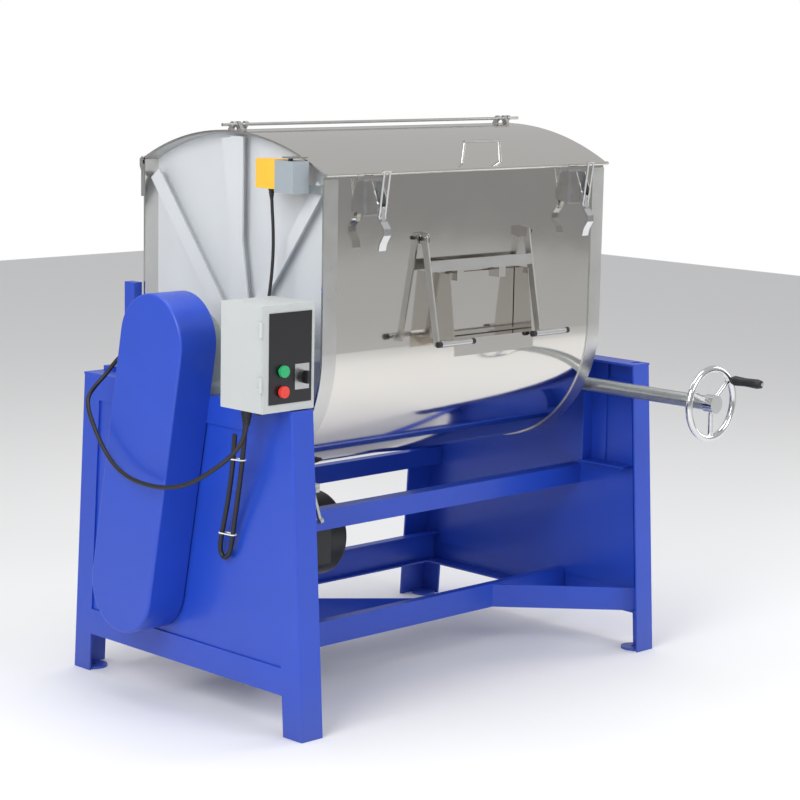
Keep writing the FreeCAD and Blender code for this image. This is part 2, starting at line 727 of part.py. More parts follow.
tubes = []
for side in (-1, 1):
    near = -(stand_x - 2) if side < 0 else wall_x + 4
    tubes.append(place(ring("trunnion", "YZ_Plane", 0, 0, trunnion_r, shaft_r + running,
                            stand_x - 2 - wall_x - 4, near), z=axis_z))
node(group("trunnion_parts", tubes), "trunnions")

# ---------------------------------------------------------------- covers, hinge and handle

cover_x = drum_x + 3
edge_y = shell_out + skin + 3


seat = size("cover_seat_gap", 0.3)
inside = under + seat


def cover(name, way):
    """Half of the arched cover, from the crest to one long edge."""
    steps = [(0.4 * way, arch_z(0.4, inside)), (0.4 * way, arch_z(0.4, arch_r)),
             ("arc", 0, arch_c, -way), (edge_y * way, arch_z(edge_y, arch_r)),
             (edge_y * way, arch_z(edge_y, inside)), ("arc", 0, arch_c, way)]
    made = plate(name, "YZ_Plane", steps, cover_x * 2, middle=True)
    return place(made, z=axis_z)


rear = cover("rear_arch", 1)
rear_lip = block("rear_lip", (-cover_x, cover_x), (shell_out + skin, edge_y),
                 (axis_z + wall_top - 40, axis_z + arch_z(edge_y, under) - 0.3))
node(group("rear_parts", [rear, rear_lip]), "rear_cover")

hinge_z = axis_z + crest + 13.5
hinge_r = 4
hinge = [rod("hinge_rod", hinge_r, (-530, 0, hinge_z), X_AXIS, 1060)]
knuckle_blocks = []
for x in (-499, -460, 445, 484):
    lug_body = plate("hinge_lug", "YZ_Plane",
                     [(1, hinge_z - 13.4), (16, hinge_z - 13.4), (8, hinge_z), ("arc", 0, hinge_z, 1),
                      (-8, hinge_z), (1, hinge_z - 9)], 10, x, [(0, hinge_z, hinge_r)])
    hinge.append(lug_body)
node(group("hinge_parts", hinge), "lid_hinge")

lid_arch = cover("lid_arch", -1)
lid_bead = rod("lid_bead", 5, (-cover_x, -(edge_y + 5.2), axis_z + arch_z(edge_y, arch_r) - 3),
               X_AXIS, cover_x * 2)
lid_parts = [lid_arch, lid_bead]
for x in (-484, 470):
    lid_parts.append(plate("lid_knuckle", "YZ_Plane",
                           [(-18, hinge_z - 13.3), (-2, hinge_z - 13.3), (2, hinge_z - 8),
                            (8, hinge_z), ("arc", 0, hinge_z, 1), (-8, hinge_z)],
                           10, x, [(0, hinge_z, hinge_r + running)]))
tab_z = axis_z + arch_z(265, arch_r)
lid_parts.append(block("switch_tab", (-552, -cover_x), (-285, -245), (tab_z - 2.6, tab_z + 0.4)))

handle_y = -322
foot_z = axis_z + arch_z(-handle_y, arch_r)
arch_tool = rod("arch_tool", arch_r + 0.2, (-80, 0, axis_z + arch_c), X_AXIS, 260)
handle_parts = [
    cut("left_post", rod("handle_left", 4, (-21, handle_y, foot_z - 8), Vector(9, 0, 60), 58), [arch_tool]),
    cut("right_post", rod("handle_right", 4, (121, handle_y, foot_z - 8), Vector(-9, 0, 60), 58), [arch_tool]),
    rod("handle_top", 4, (-15, handle_y, foot_z + 53), X_AXIS, 130)]
node(group("handle_group", handle_parts), "lid_handle")

# ---------------------------------------------------------------- latches

latch_x = (-352, 385)
pivot_y, pivot_z = -(shell_out + 37), axis_z + 345
hook_y, hook_z = pivot_y - 6, pivot_z - 20
bar_y, bar_z = pivot_y - 22, axis_z + 438
brackets, catches = [], []
for x in latch_x:
    base = block("latch_base", (x - 24, x + 24), (-(shell_out + 3), -shell_out), (axis_z + 326, axis_z + 415))
    brackets.append(base)
    for near in (x - 18, x + 14.5):
        brackets.append(plate("latch_cheek", "YZ_Plane",
                              [(-(shell_out + 3), axis_z + 330), (-(shell_out + 3), axis_z + 411),
                               (pivot_y + 12, axis_z + 411), (pivot_y - 9, pivot_z + 14),
                               (pivot_y - 9, pivot_z - 9)], 3.5, near,
                              [(pivot_y, pivot_z, 4 + running)]))
    catch_z = axis_z + 428
    catches.append(block("catch_plate", (x - 5, x + 5), (-(edge_y + 40), -(edge_y + 9.9)),
                         (catch_z - 4, catch_z + 2)))
    catches.append(block("catch_tip", (x - 5, x + 5), (-(edge_y + 43), -(edge_y + 40)),
                         (catch_z - 4, catch_z + 9)))
node(group("bracket_parts", brackets), "latch_brackets")
node(group("lid_group", lid_parts + catches), "front_lid")

for tag, x in (("left", latch_x[0]), ("right", latch_x[1])):
    pin = rod("lever_pin", 4, (x - 18, pivot_y, pivot_z), X_AXIS, 36)
    hub_block = plate("lever_hub", "YZ_Plane",
                      [(pivot_y + 7, pivot_z + 7), (pivot_y - 7, pivot_z + 7), (pivot_y - 13, hook_z - 6),
                       (pivot_y - 13, pivot_z - 34), (pivot_y - 4, pivot_z - 34)], 12, x - 6,
                      [(hook_y, hook_z, 3 + running)])
    handle = plate("lever_handle", "YZ_Plane",
                   [(pivot_y - 9, pivot_z - 30), (pivot_y - 22, pivot_z - 46), (pivot_y - 22, pivot_z - 60),
                    (pivot_y - 9, pivot_z - 80), (pivot_y - 5, pivot_z - 98), (pivot_y - 9, pivot_z - 99),
                    (pivot_y - 13, pivot_z - 82), (pivot_y - 26, pivot_z - 61),
                    (pivot_y - 26, pivot_z - 45), (pivot_y - 13, pivot_z - 28)], 24, x - 12)
    node(fuse(tag + "_lever", [pin, hub_block, handle]), tag + "_latch_lever")
    dy, dz = number(bar_y - hook_y), number(bar_z - hook_z)
    way = Vector(0, dy, dz)
    hook = [rod("hook_pin", 3, (x - 12.5, hook_y, hook_z), X_AXIS, 25),
            rod("hook_bar", 3, (x - 12.5, bar_y, bar_z), X_AXIS, 25)]
    for shift in (-9.5, 9.5):
        hook.append(rod("hook_wire", 3, (x + shift, hook_y, hook_z), way, way.Length))
    node(fuse(tag + "_hook", hook), tag + "_latch_hook")

# ---------------------------------------------------------------- discharge chute and gate

cheek_in = (-126, 154)
chute_z = size("chute_floor_rise", 15)
chute_parts = []
for near in (cheek_in[0] - 3, cheek_in[1]):
    chute_parts.append(plate("chute_cheek", "YZ_Plane",
                             [(-shell_out, chute_z), (-shell_out, chute_z + 163),
                              (-(shell_out + 57), chute_z + 163), (-(shell_out + 76), chute_z)], 3, near))
floor = plate("chute_floor", "YZ_Plane",
              [(-shell_out, chute_z - 3), (-shell_out, chute_z), (-(shell_out + 76), chute_z),
               (-(shell_out + 76), chute_z - 3)], 286, -129)
apron = plate("chute_apron", "YZ_Plane",
              [(-(shell_out + 79), chute_z - 40), (-(shell_out + 76), chute_z - 40),
               (-(shell_out + 76), chute_z + 2), (-(shell_out + 79), chute_z + 2)], 286, -129)
chute_parts += [floor, apron]
for x in (-80, 12, 104):
    chute_parts.append(plate("apron_gusset", "YZ_Plane",
                             [(-(shell_out + 76), chute_z - 38), (-(shell_out + 76), chute_z - 3),
                              (-(shell_out + 4), chute_z - 3)], 4, x))
gate_y, gate_z = -355, 265
arm_x = (-178, 192)
for x, way in ((arm_x[0], 1), (arm_x[1], -1)):
    lo, hi = sorted((x + way * 4, x + way * 12))
    chute_parts.append(plate("gate_lug", "YZ_Plane",
                             [(-shell_out, gate_z - 16), (-shell_out, gate_z + 16),
                              (gate_y - 11, gate_z + 11), (gate_y - 11, gate_z - 11)], hi - lo, lo,
                             [(gate_y, gate_z, 5)]))
    lo, hi = sorted((x + way * 12, x - way * 14))
    chute_parts.append(rod("gate_pin", 5, (lo, gate_y, gate_z), X_AXIS, hi - lo))
node(place(group("chute_group", chute_parts), z=axis_z), "chute")

gate = []
for x in arm_x:
    gate.append(plate("gate_arm", "YZ_Plane",
                      [(gate_y - 10, gate_z), (gate_y - 10, gate_z - 8), (-412, 6), (-412, 2), (-396, 2),
                       (gate_y + 10, gate_z - 8), (gate_y + 10, gate_z), ("arc", gate_y, gate_z, 1)],
                      5, x - 2.5, [(gate_y, gate_z, 5 + running)]))
cross = block("cross_bar", (arm_x[0] + 2.5, arm_x[1] - 2.5), (-377, -367), (183, 210))
gate.append(cross)
bar_r = 7.5
for x0, x1, arm_at in ((-192, -87, arm_x[0]), (150, 262, arm_x[1])):
    gate.append(rod("pull_bar", bar_r, (x0, -431, 12), X_AXIS, x1 - x0))
    gate.append(block("bar_stem", (arm_at - 2.5, arm_at + 2.5), (-423.3, -412), (2, 14)))
    for end in (x0 - 12, x1):
        gate.append(rod("bar_cap", bar_r, (end, -431, 12), X_AXIS, 12))
node(place(group("gate_group", gate), z=axis_z), "gate_frame")
door_leaf = block("gate_leaf", (cheek_in[0] + 2, cheek_in[1] - 2), (-349, -345), (chute_z + 4, chute_z + 158))
hangers = [block("gate_hanger", (x, x + 24), (-367, -349), (chute_z + 140, 205)) for x in (-74, 78)]
seal = plate("gate_seal", "XZ_Plane", rectangle(-123, 151, chute_z + 5, chute_z + 157), 5.5, 339.5,
             [rectangle(-115, 143, chute_z + 13, chute_z + 149)])
node(place(group("leaf_group", [door_leaf, seal] + hangers), z=axis_z), "gate_plate")

# ---------------------------------------------------------------- limit switch on the drum

bracket = block("switch_arm", (-512, -506), (-338, -232), (384, 404))
bracket_foot = block("switch_foot", (-506, -503), (-338, -300), (384, 404))
node(place(group("switch_bracket_group", [bracket, bracket_foot]), z=axis_z), "switch_bracket")
yellow = block("switch_head", (-562, -520), (-230, -162), (392, 462))
grey = block("switch_case", (-562, -512), (-296, -230), (384, 460))
stem_bore = rod("stem_bore", 6 + running, (-540, -262, 434), Z_AXIS, 36)
node(place(group("switch_group", [yellow, cut("case_bored", grey, [stem_bore])]), z=axis_z), "limit_switch")
stem = [rod("plunger_stem", 6, (-540, -262, 442), Z_AXIS, tab_z - axis_z - 442 - 4)]
node(place(group("plunger_group", stem), z=axis_z), "switch_plunger")

clamp = plate("clamp_block", "YZ_Plane",
              [(edge_y - 3, 335), (edge_y + 12, 335), (edge_y + 12, 400), (edge_y + 18, 412),
               (edge_y + 18, 430), (edge_y + 8, 438), (edge_y, 430), (edge_y, 388), (edge_y - 3, 388)],
              30, -500)
clamp_bolts = [rod("clamp_bolt", 6, (-485, edge_y + 12, z), Y_AXIS, 7) for z in (348, 380)]
node(place(group("clamp_group", [clamp] + clamp_bolts), z=axis_z), "rear_clamp")

# ---------------------------------------------------------------- agitator

node(place(rod("main_shaft", shaft_r, (-738, 0, 0), X_AXIS, 738 + stand_x + 4), -738, 0, axis_z,
           Y_AXIS, 90), "agitator_shaft")
ribbon_half = wall_x - 16


def ribbon(name, outer, width, thick, start, left):
    """One turn of flat helical ribbon along the drum axis."""
    made = body(name)
    profile = sketch_on(made, "XZ_Plane")
    outline(profile, rectangle(outer - width, outer, 0, thick))
    turn = made.newObject("PartDesign::AdditiveHelix", name + "_helix")
    turn.Profile = profile
    turn.ReferenceAxis = (profile, ["V_Axis"])
    turn.Mode = 0
    turn.Pitch, turn.Height = helix_pitch.value, number(ribbon_half * 2 - thick)
    bind(turn, "Pitch", helix_pitch)
    bind(turn, "Height", ribbon_half * 2 - thick)
    turn.LeftHanded = left
    made.Placement = Placement(Vector(-ribbon_half.value, 0, axis_z.value),
                               Rotation(Y_AXIS, 90).multiply(Rotation(Z_AXIS, start)))
    bind(made, "Placement.Base.x", -ribbon_half)
    bind(made, "Placement.Base.z", axis_z)
    return made


outer_ribbon_r = drum_r - 13
ribbon_t = 6
outer_set = [ribbon("outer_ribbon", outer_ribbon_r, ribbon_w, ribbon_t, start, False) for start in (0, 180)]
inner_set = [ribbon("inner_ribbon", inner_r, 26, ribbon_t, start, True) for start in (0, 180)]
node(group("outer_group", outer_set), "outer_ribbons")
node(group("inner_group", inner_set), "inner_ribbons")
rods = []


def radial(x, turn, r0, r1, left):
    """A spoke at a station of a ribbon, following that ribbon's turn."""
    way = -1 if left else 1
    angle = math.radians(turn) + way * 2 * math.pi * (x + ribbon_half.value) / helix_pitch.value
    # the helix starts on -Z and runs towards +Y for the right-handed ribbons
    direction = Vector(0, math.sin(angle), -math.cos(angle))
    lift = direction * number(r0)
    made = rod("ribbon_spoke", 9, (x, lift.y, axis_z + lift.z), direction, r1 - r0)
    rods.append(made)


for x in (-420, -220, 0, 220, 420):
    for turn in (0, 180):
        radial(x, turn, shaft_r, outer_ribbon_r - ribbon_w - 0.4, False)
        radial(x, turn, shaft_r, inner_r - 26.4, True)
spoke_fuse = fuse("spoke_fuse", rods)
clear = [rod("shaft_clear", shaft_r, (-450, 0, axis_z), X_AXIS, 900)]
node(cut("spoke_parts", spoke_fuse, clear + [group("inner_clear", inner_set)]), "agitator_spokes")

# ---------------------------------------------------------------- control box

box_x = -(stand_x + 88)
box_y = -247
front_y = box_y - box_d
box_z = stand_z + 3
box_end, box_top = box_x + box_w, box_z + box_h
walls = [
    block("box_back", (box_x, box_end), (box_y - 2, box_y), (box_z, box_top)),
    block("box_left", (box_x, box_x + 2), (front_y, box_y - 2), (box_z, box_top)),
    block("box_right", (box_end - 2, box_end), (front_y, box_y - 2), (box_z, box_top)),
    block("box_floor", (box_x + 2, box_end - 2), (front_y, box_y - 2), (box_z, box_z + 2)),
    block("box_roof", (box_x + 2, box_end - 2), (front_y, box_y - 2), (box_top - 2, box_top)),
    block("box_bracket", (-(stand_x + 36), box_end), (front_y + 14, box_y - 14), (stand_z, box_z))]
pin_x, pin_y = box_x - 4.6, front_y - 1.5
for z in (box_z + 50, box_z + 178):
    walls.append(rod("hinge_pin", 2.2, (pin_x, pin_y, z), Z_AXIS, 36))
    for low in (z, z + 24.2):
        walls.append(ring("box_knuckle", "XY_Plane", pin_x, pin_y, 4.4, 2.2, 11.8, low))
        walls.append(block("knuckle_tab", (box_x - 3, box_x), (pin_y + 4.8, pin_y + 18), (low, low + 11.8)))
node(group("box_group", walls), "control_box")

door_y0, door_y1 = front_y - 3, front_y - 0.5
knob_x, knob_z = box_x + 120, box_z + 79
start_x, start_z, stop_z = box_x + 58, box_z + 96, box_z + 48
cap_r = size("button_radius", 14)
panel_t = 2
door_holes = [(start_x, start_z, 11), (start_x, stop_z, 11), (knob_x, knob_z, 6)]
door_body = plate("door_plate", "XZ_Plane", rectangle(box_x, box_end, box_z, box_top), 2.5, -door_y1,
                  door_holes)
door_parts = [door_body]
for z in (box_z + 50, box_z + 178):
    door_parts.append(ring("door_knuckle", "XY_Plane", pin_x, pin_y, 4.4, 2.2 + running, 12, z + 12))
node(group("door_group", door_parts), "control_door")
face_y = door_y0 - panel_t
node(plate("panel_face", "XZ_Plane", rectangle(box_x + 19, box_x + 150, box_z + 19, box_z + 232),
           panel_t, -door_y0, door_holes), "panel_plate")
for name, z in (("start_button", start_z), ("stop_button", stop_z)):
    cap = rod(name + "_cap", cap_r, (start_x, face_y - 12, z), Y_AXIS, 8)
    stem_rod = rod(name + "_stem", 11 - running, (start_x, face_y - 4, z), Y_AXIS, 4 + panel_t + 6)
    node(fuse(name + "_body", [cap, stem_rod]), name)
knob = rod("knob_boss", 15, (knob_x, face_y - 12, knob_z), Y_AXIS, 11)
knob_grip = block("knob_grip", (knob_x - 4, knob_x + 4), (face_y - 24, face_y - 12), (knob_z - 15, knob_z + 15))
knob_stem = rod("knob_stem", 6 - running, (knob_x, face_y - 2, knob_z), Y_AXIS, 10)
node(fuse("knob_body", [knob, knob_grip, knob_stem]), "selector_knob")
switch_face = plate("switch_face", "XZ_Plane",
                    rectangle(knob_x - 22, knob_x + 22, knob_z - 30, knob_z + 30), 1, -face_y,
                    [(knob_x, knob_z, 6)])
node(switch_face, "switch_escutcheon")

# ---------------------------------------------------------------- cords


def cord(name, points, radius):
    """A round cord of straight runs joined by tangent arcs."""
    points = [Vector(*p) for p in points]
    runs = [(b - a).Length for a, b in zip(points, points[1:])]
    edges, last, smallest = [], points[0], 1e9
    for i in range(1, len(points) - 1):
        before = (points[i] - points[i - 1]).normalize()
        after = (points[i + 1] - points[i]).normalize()
        turn = math.acos(max(-1, min(1, before.dot(after))))
        trim = 0.45 * min(runs[i - 1], runs[i])
        bend = trim / math.tan(turn / 2)
        smallest = min(smallest, bend)
        first, stop = points[i] - before * trim, points[i] + after * trim
        inward = (after - before).normalize()
        middle = points[i] + inward * (bend / math.cos(turn / 2) - bend)
        edges.append(Part.LineSegment(last, first).toShape())
        edges.append(Part.Arc(first, middle, stop).toShape())
        last = stop
    edges.append(Part.LineSegment(last, points[-1]).toShape())
    path = Part.Wire(edges)
    ring = Part.Wire([Part.Circle(points[0], points[1] - points[0], radius).toShape()])
    tube_shape = path.makePipeShell([ring], True, True)
    wanted = math.pi * radius * radius * path.Length
    if abs(tube_shape.Volume - wanted) > 0.02 * wanted:
        raise RuntimeError(f"{name} volume {tube_shape.Volume:.0f}, expected {wanted:.0f}")
    print(f"{name}: {len(points)} points, length {path.Length:.0f}, least bend radius {smallest:.1f}")
    made = doc.addObject("Part::Feature", name)
    made.Shape = tube_shape
    return made


motor_points = [
    (-716, -318, 776), (-718, -318, 735), (-738, -300, 685), (-772, -252, 638), (-786, -200, 606),
    (-792, -145, 588), (-795, -85, 579), (-796, -25, 579), (-795, 35, 586), (-793, 88, 606),
    (-790, 134, 640), (-787, 172, 682), (-778, 212, 725), (-756, 244, 752), (-728, 252, 775),
    (-702, 238, 806), (-686, 214, 845), (-672, 190, 868), (-646, 172, 876), (-610, 156, 868),
    (-578, 146, 840), (-556, 140, 800), (-546, 138, 750), (-543, 136, 695), (-541, 134, 635),
    (-534, 128, 580), (-508, 116, 532), (-466, 94, 500), (-416, 62, 484), (-366, 28, 474),
    (-322, -4, 468), (-285, -24, 458), (-262, -31, 438), (-254, -32, 404)]
motor_line = cord("motor_line", motor_points, 5.5)
node(motor_line, "motor_cord")

supply_points = [
    (-705, -300, 776), (-704, -296, 738), (-698, -284, 690), (-690, -268, 638), (-682, -250, 585),
    (-674, -232, 535), (-666, -214, 486), (-661, -200, 440), (-660, -190, 413), (-660, -172, 400),
    (-661, -158, 416), (-664, -163, 445), (-670, -182, 490), (-678, -204, 542), (-688, -226, 596),
    (-698, -246, 648), (-708, -262, 694), (-713, -270, 724)]
node(cord("supply_line", supply_points, 6), "supply_cord")

switch_points = [
    (-541, -196, 1290), (-540, -197, 1255), (-536, -198, 1200), (-534, -197, 1140), (-536, -194, 1080),
    (-541, -190, 1025), (-549, -189, 975), (-565, -192, 936), (-588, -198, 906), (-612, -206, 890),
    (-628, -220, 885), (-630, -241, 885)]
node(cord("switch_line", switch_points, 4), "switch_cord")

glands = [
    rod("motor_gland", 10, (-716, -318, 776.7), Z_AXIS, box_z - 776.7),
    rod("supply_gland", 11, (-705, -300, 776.7), Z_AXIS, box_z - 776.7),
    rod("spare_gland", 9, (-700, -345, 780), Z_AXIS, box_z - 780),
    rod("switch_gland", 8, (-630, -241.5, 885), -Y_AXIS, 5.5),
    rod("terminal_gland", 9, (-254, -32, 395), Z_AXIS, 8)]
node(group("gland_group", glands), "cable_glands")

ties = []
for (ax, ay), (bx, by), z in (((-693.7, -275.4), (-701.1, -251.1), 662), ((-663.5, -208), (-667.1, -172.5), 466)):
    span = math.hypot(bx - ax, by - ay)
    nx, ny = -(by - ay) / span, (bx - ax) / span
    tracks = []
    for r in (9, 7.6):
        tracks.append([(ax + nx * r, ay + ny * r), ("arc", ax, ay, 1), (ax - nx * r, ay - ny * r),
                       (bx - nx * r, by - ny * r), ("arc", bx, by, 1), (bx + nx * r, by + ny * r)])
    ties.append(plate("hank_tie", "XY_Plane", tracks[0], 3, z - 1.5, [tracks[1]]))
node(group("tie_group", ties), "cable_ties")

# ---------------------------------------------------------------- export

doc.recompute()
for obj in doc.Objects:
    if "Invalid" in obj.State or "Error" in obj.State:
        raise RuntimeError(f"{obj.Name} ({obj.Label}) is {obj.State}")
os.makedirs("parts", exist_ok=True)
for obj in nodes:
    if obj.Shape.isNull() or not obj.Shape.isValid() or not obj.Shape.Solids:
        raise RuntimeError(f"{obj.Label} has no valid shape")
    obj.Shape.exportStep(f"parts/{obj.Label}.step")
print(len(nodes), "parts,", sum(len(o.Shape.Solids) for o in nodes), "solids")
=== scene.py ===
import math

import bmesh
import bpy
from mathutils import Matrix, Vector


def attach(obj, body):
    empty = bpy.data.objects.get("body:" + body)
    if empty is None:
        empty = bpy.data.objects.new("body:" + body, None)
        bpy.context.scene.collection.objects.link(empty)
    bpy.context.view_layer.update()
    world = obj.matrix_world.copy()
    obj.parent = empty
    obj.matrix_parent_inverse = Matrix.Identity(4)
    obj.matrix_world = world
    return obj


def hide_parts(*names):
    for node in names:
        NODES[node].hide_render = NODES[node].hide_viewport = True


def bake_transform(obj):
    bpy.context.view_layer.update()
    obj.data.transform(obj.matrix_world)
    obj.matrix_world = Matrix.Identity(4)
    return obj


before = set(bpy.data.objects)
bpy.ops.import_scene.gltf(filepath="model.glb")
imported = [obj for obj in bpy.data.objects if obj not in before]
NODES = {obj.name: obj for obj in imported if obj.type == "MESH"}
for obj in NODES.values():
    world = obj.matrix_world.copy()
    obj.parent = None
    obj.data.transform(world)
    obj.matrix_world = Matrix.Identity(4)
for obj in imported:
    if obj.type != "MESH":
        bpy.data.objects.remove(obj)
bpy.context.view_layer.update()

MM = 0.001
scene = bpy.context.scene


# ---------------------------------------------------------------- small helpers

def linear(code):
    """An sRGB hex colour as linear RGBA."""
    parts = [int(code[i:i + 2], 16) / 255 for i in (1, 3, 5)]
    return [c / 12.92 if c <= 0.04045 else ((c + 0.055) / 1.055) ** 2.4 for c in parts] + [1.0]


def mm(*values):
    """A place given in millimetres."""
    return Vector(v * MM for v in values)


def add(tree, kind, links=None, **values):
    """A shader node with sockets and properties set by name; links maps a socket to an output."""
    made = tree.nodes.new(kind)
    for key, value in values.items():
        if hasattr(made, key) and not key[0].isupper():
            setattr(made, key, value)
        else:
            made.inputs[key.replace("_", " ")].default_value = value
    for key, output in (links or {}).items():
        tree.links.new(output, made.inputs[key])
    return made


# ---------------------------------------------------------------- finishes

MIX_A, MIX_B, MIX_RESULT = 6, 7, 2      # the colour sockets of a Mix node
COAT_ROUGHNESS = 0.12
LEAST_ROUGHNESS = 0.02
GLOSS_SHARE = 0.4                       # patches of uneven gloss, against those of the colour
BUMP_SHARE = 0.05                       # depth of a bump, against its width
SOIL_SCALE = 70.0


def soiled(tree, at, colour, dirt):
    """The colour with patches of dirt that thin out with height."""
    code, amount, low, high = dirt
    height = add(tree, "ShaderNodeSeparateXYZ", {0: at}).outputs["Z"]
    fall = add(tree, "ShaderNodeMapRange", {"Value": height},
               From_Min=low * MM, From_Max=high * MM, To_Min=amount, To_Max=0.0)
    spots = add(tree, "ShaderNodeTexNoise", {"Vector": at}, Scale=SOIL_SCALE, Detail=6.0)
    mask = add(tree, "ShaderNodeMath", {0: fall.outputs[0], 1: spots.outputs["Fac"]}, operation="MULTIPLY")
    soil = add(tree, "ShaderNodeMix", {0: mask.outputs[0], MIX_A: colour}, data_type="RGBA")
    soil.inputs[MIX_B].default_value = linear(code)
    return soil.outputs[MIX_RESULT]


def painted(name, code, rough, metal=0.0, grain=0.0, grain_mm=1.0, wave=0.0, wave_mm=60.0,
            tint=0.04, tint_mm=90.0, rough_span=0.06, coat=0.0, dirt=None):
    """A surface with slow colour drift, uneven gloss, fine grain and a long shallow wave."""
    mat = bpy.data.materials.new(name)
    mat.use_nodes = True
    tree = mat.node_tree
    shader = tree.nodes["Principled BSDF"]
    shader.inputs["Metallic"].default_value = metal
    shader.inputs["Coat Weight"].default_value = coat
    shader.inputs["Coat Roughness"].default_value = COAT_ROUGHNESS
    at = add(tree, "ShaderNodeTexCoord").outputs["Object"]

    drift = add(tree, "ShaderNodeTexNoise", {"Vector": at}, Scale=1 / (tint_mm * MM), Detail=4.0)
    base = linear(code)[:3]
    colour = add(tree, "ShaderNodeMix", {0: drift.outputs["Fac"]}, data_type="RGBA")
    colour.inputs[MIX_A].default_value = [c * (1 - tint) for c in base] + [1]
    colour.inputs[MIX_B].default_value = [min(1, c * (1 + tint)) for c in base] + [1]
    result = colour.outputs[MIX_RESULT]
    if dirt:
        result = soiled(tree, at, result, dirt)
    tree.links.new(result, shader.inputs["Base Color"])

    gloss = add(tree, "ShaderNodeTexNoise", {"Vector": at}, Scale=1 / (tint_mm * GLOSS_SHARE * MM), Detail=3.0)
    span = add(tree, "ShaderNodeMapRange", {"Value": gloss.outputs["Fac"]},
               To_Min=max(LEAST_ROUGHNESS, rough - rough_span), To_Max=rough + rough_span)
    tree.links.new(span.outputs[0], shader.inputs["Roughness"])

    normal = None
    for strength, size in ((wave, wave_mm), (grain, grain_mm)):
        if strength:
            field = add(tree, "ShaderNodeTexNoise", {"Vector": at}, Scale=1 / (size * MM), Detail=2.0)
            bump = add(tree, "ShaderNodeBump", {"Height": field.outputs["Fac"]}, Strength=strength,
                       Distance=size * MM * BUMP_SHARE)
            if normal:
                tree.links.new(normal, bump.inputs["Normal"])
            normal = bump.outputs["Normal"]
    if normal:
        tree.links.new(normal, shader.inputs["Normal"])
    return mat


# Mirror-polished stainless sheet: nearly clean reflections, a slow wave from the rolled sheet
mirror = painted("mirror_polished_stainless", "#DAD7D2", 0.085, metal=1.0, wave=0.05, wave_mm=240,
                 tint=0.02, tint_mm=300, rough_span=0.03)
# Satin stainless bar and bands: broad soft highlights with a fine brushed grain
satin = painted("satin_stainless", "#C9C9C7", 0.3, metal=1.0, grain=0.06, grain_mm=1.2, tint=0.05)
# Powder-coated blue steel: deep blue with a soft sheen and a faint orange peel, soiled low down
blue = painted("blue_powder_coat", "#1D45B8", 0.4, grain=0.12, grain_mm=2.2, wave=0.05, wave_mm=140,
               tint=0.07, coat=0.15, dirt=("#5A5E66", 0.35, 0, 160))
# Light grey machine enamel on the drum ends: even, low sheen
grey = painted("light_grey_enamel", "#CDD1D4", 0.42, grain=0.08, grain_mm=2.5, tint=0.03, coat=0.1)
# Grey hammered enamel over rough cast iron: broken highlights
cast = painted("grey_painted_casting", "#8F9895", 0.5, grain=0.35, grain_mm=3.0, tint=0.1)
# Zinc-plated steel: mottled spangle
zinc = painted("zinc_plated_steel", "#B4B8B9", 0.36, metal=1.0, grain=0.08, grain_mm=2.0, tint=0.16, tint_mm=14)
# Oiled chain steel: dark, with a wet gleam
oiled = painted("oiled_chain_steel", "#4A4947", 0.35, metal=1.0, tint=0.15, tint_mm=10)
# Chromed casting: bright, slightly uneven under the polish
chrome = painted("polished_chrome_casting", "#DCDDDD", 0.12, metal=1.0, wave=0.12, wave_mm=14, tint=0.05)
# Black enamel over a cast motor case: dull, with a fine roughness
black = painted("black_motor_enamel", "#17181A", 0.45, grain=0.2, grain_mm=2.0, tint=0.2, coat=0.1)
# Textured grey paint on sheet steel: a fine even stipple
box_grey = painted("textured_box_paint", "#B9BDBD", 0.48, grain=0.3, grain_mm=1.4, tint=0.03)
# Moulded black plastic: half matt, with a fine spark texture
plastic = painted("black_moulded_plastic", "#141416", 0.45, grain=0.1, grain_mm=1.0, tint=0.1)
# Black polyester film on the panel: smooth and a little glossy
film = painted("black_panel_film", "#15151A", 0.3, tint=0.05, coat=0.2)
# Glossy moulded plastic of the push buttons
green = painted("green_button_plastic", "#23A566", 0.22, tint=0.03, coat=0.4)
red = painted("red_button_plastic", "#DC3B32", 0.22, tint=0.03, coat=0.4)
# Yellow moulded plastic of the switch body: half gloss
yellow = painted("yellow_switch_plastic", "#EBB83C", 0.35, tint=0.04)
# Grey enamel over the die-cast switch head: low sheen, fine texture
switch_grey = painted("grey_switch_casting", "#97A0A6", 0.42, grain=0.2, grain_mm=1.5, tint=0.05)
# Extruded black rubber sheath: dull
rubber = painted("black_cord_rubber", "#1A1A1C", 0.5, grain=0.2, grain_mm=1.5, tint=0.1)
# White moulded nylon: faintly waxy
nylon = painted("white_nylon_tie", "#E6E6E2", 0.4, tint=0.03)
# Brushed aluminium plate: soft metal sheen with a fine grain
aluminium = painted("brushed_aluminium_plate", "#CFD1D3", 0.3, metal=1.0, grain=0.08, grain_mm=0.8, tint=0.03)

